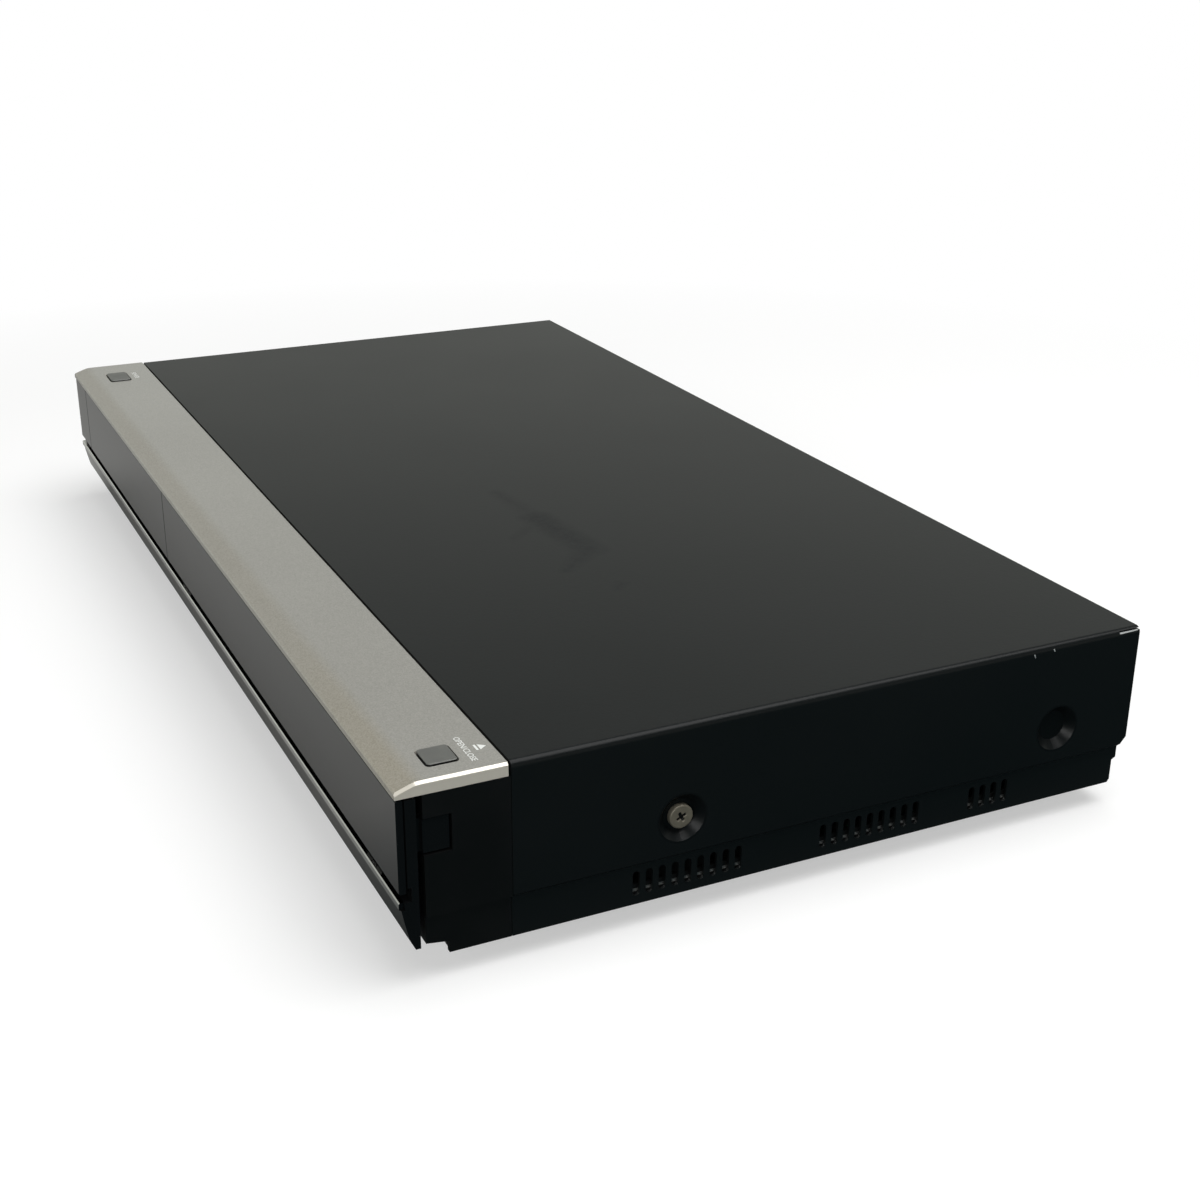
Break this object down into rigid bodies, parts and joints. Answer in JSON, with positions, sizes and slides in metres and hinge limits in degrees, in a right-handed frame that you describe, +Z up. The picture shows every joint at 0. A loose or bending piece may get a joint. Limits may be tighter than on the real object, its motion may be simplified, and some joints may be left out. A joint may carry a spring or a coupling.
{
  "type": "optical disc recorder",
  "caption": "Low full-width disc recorder: folded steel cover, silver top trim, glossy dark front with sliding disc tray and fold-down flap, sockets at the back.",
  "frame": {"origin": "centre of the overall box, on the surface that the feet stand on", "axes": "+X to the right seen from the front, +Y to the back, +Z up"},
  "size_m": [0.43, 0.2408, 0.059],
  "materials": {
    "cover_paint": "fine matt black paint on steel",
    "zinc_steel": "zinc plated sheet steel",
    "screw_metal": "nickel plated screw",
    "black_plastic": "moulded black plastic, fine grain",
    "gloss_black": "dark tinted glossy plastic",
    "silver_trim": "warm silver paint under clear coat",
    "bright_strip": "bright plated strip",
    "button_grey": "satin grey plastic",
    "rubber": "rubber",
    "steel": "ground steel",
    "board": "green circuit board",
    "chip": "moulded chip body",
    "aluminium": "bare aluminium",
    "ferrite": "ferrite with taped winding",
    "can_sleeve": "sleeved capacitor",
    "white_plastic": "white acetal",
    "tray_plastic": "dark grey moulded tray",
    "lens_clear": "smoked clear pane",
    "tube_glass": "display glass",
    "nickel": "nickel plating",
    "optics": "coated lens in a black holder",
    "cable": "white flat cable"
  },
  "bodies": {
    "root": {"top_cover": "cover_paint", "case_screws": "screw_metal", "base_chassis": "zinc_steel", "feet": "black_plastic", "foot_pads": "rubber", "rear_panel": "zinc_steel", "main_board": "board", "main_chips": "chip", "heatsinks": "aluminium", "power_board": "board", "power_transformer": "ferrite", "power_capacitors": "can_sleeve", "hard_disk": "aluminium", "hard_disk_bracket": "zinc_steel", "front_panel": "gloss_black", "lip_strip": "bright_strip", "left_fascia": "gloss_black", "top_trim": "silver_trim", "front_chassis": "black_plastic", "key_boards": "board", "key_switches": "black_plastic", "front_board": "board", "display_tube": "tube_glass", "display_lens": "lens_clear", "card_reader": "black_plastic", "loading_belt": "rubber", "loading_motor": "steel", "loader_frame": "black_plastic", "drive_top_plate": "zinc_steel", "fan_frame": "black_plastic", "tuner_can": "aluminium", "aerial_sockets": "nickel", "jack_block": "black_plastic", "jack_barrels": "nickel", "lan_socket": "black_plastic", "hdmi_socket": "nickel", "optical_socket": "black_plastic", "usb_sockets": "nickel", "mains_inlet": "black_plastic", "ribbon_cables": "cable"},
    "tray": {"disc_tray": "tray_plastic", "tray_bezel": "gloss_black"},
    "loading_gear": {"loading_gear": "white_plastic"},
    "pulley_gear": {"pulley_gear": "white_plastic"},
    "motor_pulley": {"motor_pulley": "white_plastic"},
    "traverse": {"traverse_deck": "black_plastic", "guide_rails": "steel", "sled_motor": "steel", "spindle_motor": "steel"},
    "turntable": {"turntable": "black_plastic"},
    "sled": {"pickup_sled": "aluminium", "pickup_lens": "optics"},
    "lead_screw": {"lead_screw": "steel"},
    "clamp": {"disc_clamp": "black_plastic"},
    "fan": {"fan_rotor": "black_plastic"},
    "flap": {"flap_window": "gloss_black", "flap_frame": "black_plastic", "hinge_pins": "steel"},
    "power_button": {"power_button": "button_grey"},
    "open_close_button": {"open_close_button": "button_grey"}
  },
  "joints": [
    {"name": "tray_slide", "type": "slide", "parent": "root", "child": "tray", "axis": [0, -1, 0], "range_m": [0, 0.132]},
    {"name": "loading_gear_spin", "type": "hinge", "parent": "root", "child": "loading_gear", "pos_m": [-0.162, -0.09655, 0.033], "axis": [0, 0, 1], "range_deg": [-5, 760]},
    {"name": "pulley_gear_spin", "type": "hinge", "parent": "root", "child": "pulley_gear", "pos_m": [-0.145, -0.09655, 0.028], "axis": [0, 0, 1], "range_deg": [-1825, 5]},
    {"name": "motor_pulley_spin", "type": "hinge", "parent": "root", "child": "motor_pulley", "pos_m": [-0.1, -0.09655, 0.0247], "axis": [0, 0, 1], "range_deg": [-6040, 5]},
    {"name": "traverse_lift", "type": "hinge", "parent": "root", "child": "traverse", "pos_m": [-0.117, 0.03965, 0.021], "axis": [-1, 0, 0], "range_deg": [0, 4.2]},
    {"name": "turntable_spin", "type": "hinge", "parent": "traverse", "child": "turntable", "pos_m": [-0.117, -0.05185, 0.03], "axis": [0, 0, 1], "continuous": true},
    {"name": "sled_slide", "type": "slide", "parent": "traverse", "child": "sled", "axis": [0, 1, 0], "range_m": [0, 0.036]},
    {"name": "lead_screw_spin", "type": "hinge", "parent": "traverse", "child": "lead_screw", "pos_m": [-0.0785, -0.02185, 0.0272], "axis": [0, 1, 0], "range_deg": [-5, 4325]},
    {"name": "clamp_spin", "type": "hinge", "parent": "root", "child": "clamp", "pos_m": [-0.117, -0.05185, 0.046], "axis": [0, 0, 1], "continuous": true},
    {"name": "fan_spin", "type": "hinge", "parent": "root", "child": "fan", "pos_m": [-0.056, 0.10105, 0.0352], "axis": [0, 1, 0], "continuous": true},
    {"name": "flap_hinge", "type": "hinge", "parent": "root", "child": "flap", "pos_m": [0.085, -0.11765, 0.0282], "axis": [1, 0, 0], "range_deg": [0, 90]},
    {"name": "power_press", "type": "slide", "parent": "root", "child": "power_button", "axis": [0, 0, -1], "range_m": [0, 0.0006], "stiffness_N_per_m": 1500},
    {"name": "open_close_press", "type": "slide", "parent": "root", "child": "open_close_button", "axis": [0, 0, -1], "range_m": [0, 0.0006], "stiffness_N_per_m": 1500}
  ],
  "couplings": [
    {"joint": "loading_gear_spin", "follows": "tray_slide", "rad_per_m": 100},
    {"joint": "pulley_gear_spin", "follows": "tray_slide", "rad_per_m": -240},
    {"joint": "motor_pulley_spin", "follows": "tray_slide", "rad_per_m": -797.14},
    {"joint": "lead_screw_spin", "follows": "sled_slide", "rad_per_m": 2094.4}
  ]
}
